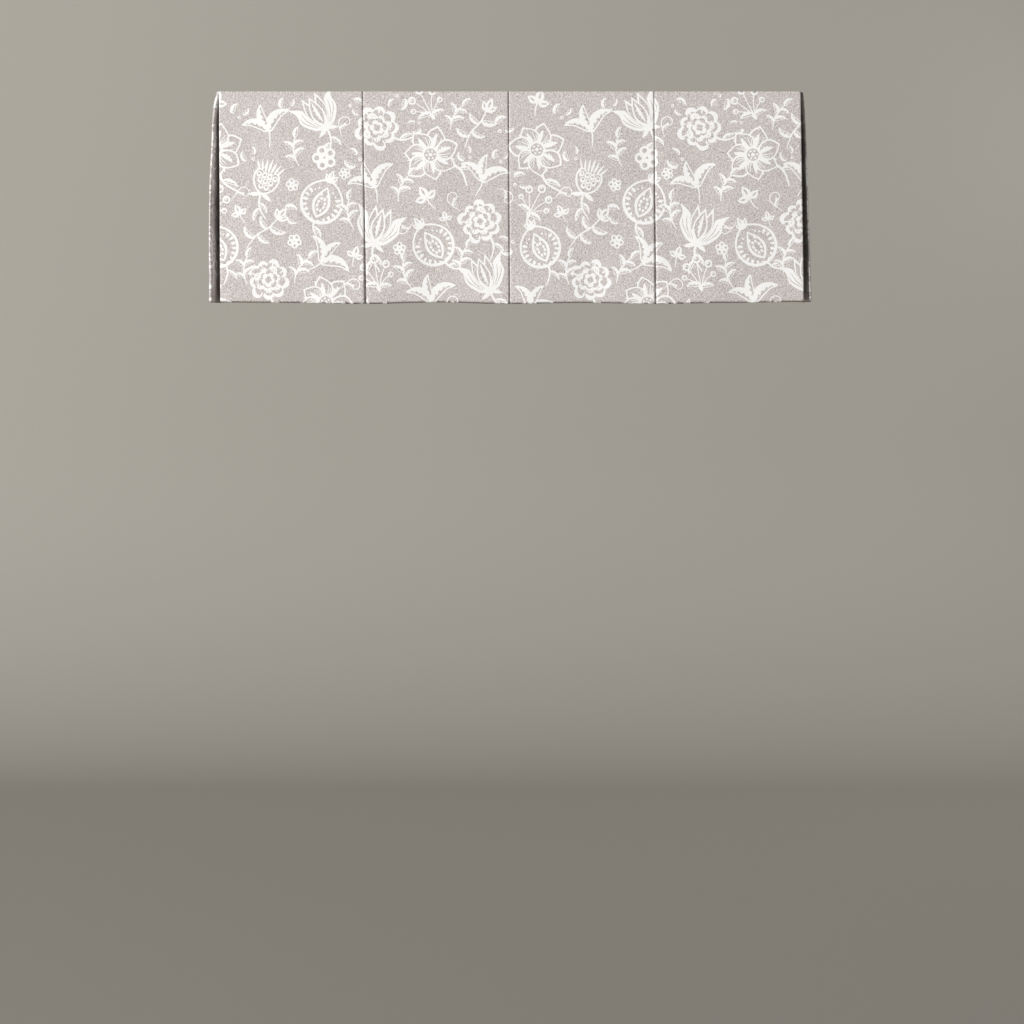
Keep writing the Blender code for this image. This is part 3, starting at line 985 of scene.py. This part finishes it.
def stretched_noise(tree, cloth, across, down, detail):
    """Noise with about this many grains to a metre across and down the cloth, and finer ones over it."""
    mapping = add_node(tree, "ShaderNodeMapping", inputs={"Scale": (across, down, 1)})
    noise = add_node(tree, "ShaderNodeTexNoise", inputs={"Scale": 1, "Detail": detail, "Roughness": 0.6})
    tree.links.new(cloth, mapping.inputs["Vector"])
    tree.links.new(mapping.outputs[0], noise.inputs["Vector"])
    return noise.outputs["Fac"]


def maths(tree, operation, first, second, third=None):
    node = add_node(tree, "ShaderNodeMath", {"operation": operation})
    for socket, value in zip(node.inputs, (first, second, third)):
        if isinstance(value, bpy.types.NodeSocket):
            tree.links.new(value, socket)
        elif value is not None:
            socket.default_value = value
    return node.outputs[0]


def cloth_material(name, warm, cool, contrast, relief):
    """Woven linen: warm and cool yarns, thick and thin places in those that run down and those that run
    across, a few longer uneven yarns, and a light unevenness over all."""
    material = bpy.data.materials.new(name)
    material.use_nodes = True
    tree = material.node_tree
    shader = tree.nodes["Principled BSDF"]
    shader.inputs["Roughness"].default_value = 0.92
    shader.inputs["Specular IOR Level"].default_value = 0.25
    shader.inputs["Sheen Weight"].default_value = 0.12
    shader.inputs["Sheen Roughness"].default_value = 0.5
    cloth = add_node(tree, "ShaderNodeUVMap", {"uv_map": "cloth"}).outputs[0]
    grain = {part: stretched_noise(tree, cloth, *sizes) for part, sizes in WEAVE.items()}
    yarn = add_node(tree, "ShaderNodeMix", {"data_type": "RGBA"})
    yarn.inputs[6].default_value = (*warm, 1)
    yarn.inputs[7].default_value = (*cool, 1)
    tree.links.new(grain["tone"], yarn.inputs[0])
    shares = {part: share * contrast for part, share in SHADE_SHARES.items()}
    shares["blotch"] = BLOTCH_SHARE
    shade = 1 - sum(shares.values()) / 2
    for part, share in shares.items():
        shade = maths(tree, "MULTIPLY_ADD", grain[part], share, shade)
    colour = add_node(tree, "ShaderNodeVectorMath", {"operation": "SCALE"})
    tree.links.new(yarn.outputs[2], colour.inputs[0])
    tree.links.new(shade, colour.inputs["Scale"])
    tree.links.new(colour.outputs[0], shader.inputs["Base Color"])
    height = maths(tree, "ADD", grain["warp"], maths(tree, "MULTIPLY", grain["weft"], WEFT_HEIGHT))
    bump = add_node(tree, "ShaderNodeBump", inputs={"Strength": relief, "Distance": WARP_HEIGHT})
    tree.links.new(height, bump.inputs["Height"])
    tree.links.new(bump.outputs[0], shader.inputs["Normal"])
    return material


def plain_material(name, colour, roughness):
    material = bpy.data.materials.new(name)
    material.use_nodes = True
    shader = material.node_tree.nodes["Principled BSDF"]
    shader.inputs["Base Color"].default_value = (*colour, 1)
    shader.inputs["Roughness"].default_value = roughness
    return material


# ---- the valance ------------------------------------------------------------------------------------

PRINT = printed()

# The cloth's face, its white print, and the reverse of both: the colours of the warm and the cool
# yarns, the contrast between light and dark yarns, and how far the weave stands out.
CLOTH_MATERIALS = (
    cloth_material("linen", (0.655, 0.530, 0.482), (0.503, 0.539, 0.554), 1.95, 0.5),
    cloth_material("linen_print", (0.900, 0.880, 0.860), (0.880, 0.880, 0.876), 0.2, 0.35),
    cloth_material("linen_reverse", (0.667, 0.554, 0.505), (0.522, 0.564, 0.579), 1.95, 0.5),
    cloth_material("linen_reverse_print", (0.700, 0.640, 0.610), (0.645, 0.640, 0.635), 1.6, 0.5),
)


def add_sheet(node, plan, middle_across):
    sheet, width = cloth_sheet("cloth_" + node, plan, middle_across, CLOTH_MATERIALS)
    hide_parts(node)
    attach(sheet, "root")
    print(node, len(sheet.data.polygons), "triangles, flat", round(width, 4), "x", DROP)


def add_face_panels():
    for i in range(len(PLEATS) + 1):
        left, right = seam_edges(0.5)[2 * i : 2 * i + 2]
        add_sheet(
            f"face_panel_{i + 1}",
            lambda part, i=i: face_plan(*seam_edges(part)[2 * i : 2 * i + 2]),
            1000 * (left + right) / 2,
        )


def add_pleat_underlays():
    for i in range(len(PLEATS)):
        edges = seam_edges(0.5)[2 * i + 1 : 2 * i + 3]
        add_sheet(
            f"pleat_underlay_{i + 1}",
            lambda part, i=i: underlay_plan(
                seam_edges(part)[2 * i + 1] - PLEAT_DEPTH, seam_edges(part)[2 * i + 2] + PLEAT_DEPTH
            ),
            1000 * sum(edges) / 2 + UNDERLAY_SHIFT,
        )


def add_corners():
    for side, outward in (("left", -1), ("right", 1)):
        edge = 1000 * mix(*FACE_EDGES[side], 0.5)
        add_sheet(
            f"corner_underlay_{side}",
            at_corner(corner_plan, side),
            edge + UNDERLAY_SHIFT,
        )
        add_sheet(
            f"return_{side}",
            at_corner(return_plan, side),
            edge + outward * RETURN_SHIFT,
        )


# ---- backdrop, light and camera ---------------------------------------------------------------------


BACKDROP_COLOUR = (0.420, 0.400, 0.355)
FLOOR_LEVEL = -2.1
WALL_BEHIND = 4.4
BACKDROP_BEND = 1.2
BACKDROP_REACH = 14
BACKDROP_TOP = 6
ROOM_LIGHT = (0.075, 0.072, 0.068)

# Each lamp: its place, what it points at, its width in metres and its power in watts.
LAMPS = {
    "key": ((-10.5, -12.1, 2.8), (0, 0, -0.2), 1.9, 3100),
    "side": ((3.2, 3.8, 0.6), (0.3, 0, -0.2), 1.4, 20),
}

# The camera is level with the lower part of the valance, whose underside doesn't show, and shifted so
# that the valance hangs high in the picture.
CAMERA_PLACE = (0.0019, -3.75, -0.46)
CAMERA_SHIFT = -0.1773
VIEW_ANGLE = math.radians(29.5)


def add_backdrop():
    """A pale floor that curves up into a pale wall, well behind the valance."""
    profile = [(-BACKDROP_REACH, FLOOR_LEVEL)]
    for angle in np.linspace(0, math.pi / 2, 13):
        along = WALL_BEHIND - BACKDROP_BEND * (1 - math.sin(angle))
        profile.append((along, FLOOR_LEVEL + BACKDROP_BEND * (1 - math.cos(angle))))
    profile.append((WALL_BEHIND, BACKDROP_TOP))
    points = [(side * BACKDROP_REACH, y, z) for y, z in profile for side in (-1, 1)]
    mesh = bpy.data.meshes.new("backdrop")
    mesh.from_pydata(points, [], [(k, k + 1, k + 3, k + 2) for k in range(0, len(points) - 2, 2)])
    mesh.materials.append(plain_material("pale_backdrop", BACKDROP_COLOUR, 0.9))
    mesh.shade_smooth()
    backdrop = bpy.data.objects.new("backdrop", mesh)
    bpy.context.scene.collection.objects.link(backdrop)
    backdrop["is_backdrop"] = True


def add_world():
    world = bpy.data.worlds.new("plain_room")
    world.use_nodes = True
    background = world.node_tree.nodes["Background"]
    background.inputs["Color"].default_value = (*ROOM_LIGHT, 1)
    background.inputs["Strength"].default_value = 1
    bpy.context.scene.world = world


def add_light(name, place, target, size, power):
    light = bpy.data.lights.new(name, "AREA")
    light.shape = "DISK"
    light.size = size
    light.energy = power
    lamp = bpy.data.objects.new(name, light)
    lamp.location = place
    lamp.rotation_euler = (Vector(target) - Vector(place)).to_track_quat("-Z", "Y").to_euler()
    bpy.context.scene.collection.objects.link(lamp)


def add_camera():
    view = bpy.data.cameras.new("camera")
    view.angle = VIEW_ANGLE
    view.shift_y = CAMERA_SHIFT
    camera = bpy.data.objects.new("camera", view)
    camera.location = CAMERA_PLACE
    camera.rotation_euler = (math.pi / 2, 0, 0)
    bpy.context.scene.collection.objects.link(camera)
    bpy.context.scene.camera = camera


add_face_panels()
add_pleat_underlays()
add_corners()
add_backdrop()
add_world()
for lamp, (place, target, size, power) in LAMPS.items():
    add_light(lamp, place, target, size, power)
add_camera()
bpy.context.scene.view_settings.view_transform = "Standard"

boxes = {"cad": CAD_BOX, "visual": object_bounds()}
boxes = {name: [list(corner) for corner in box] for name, box in boxes.items()}
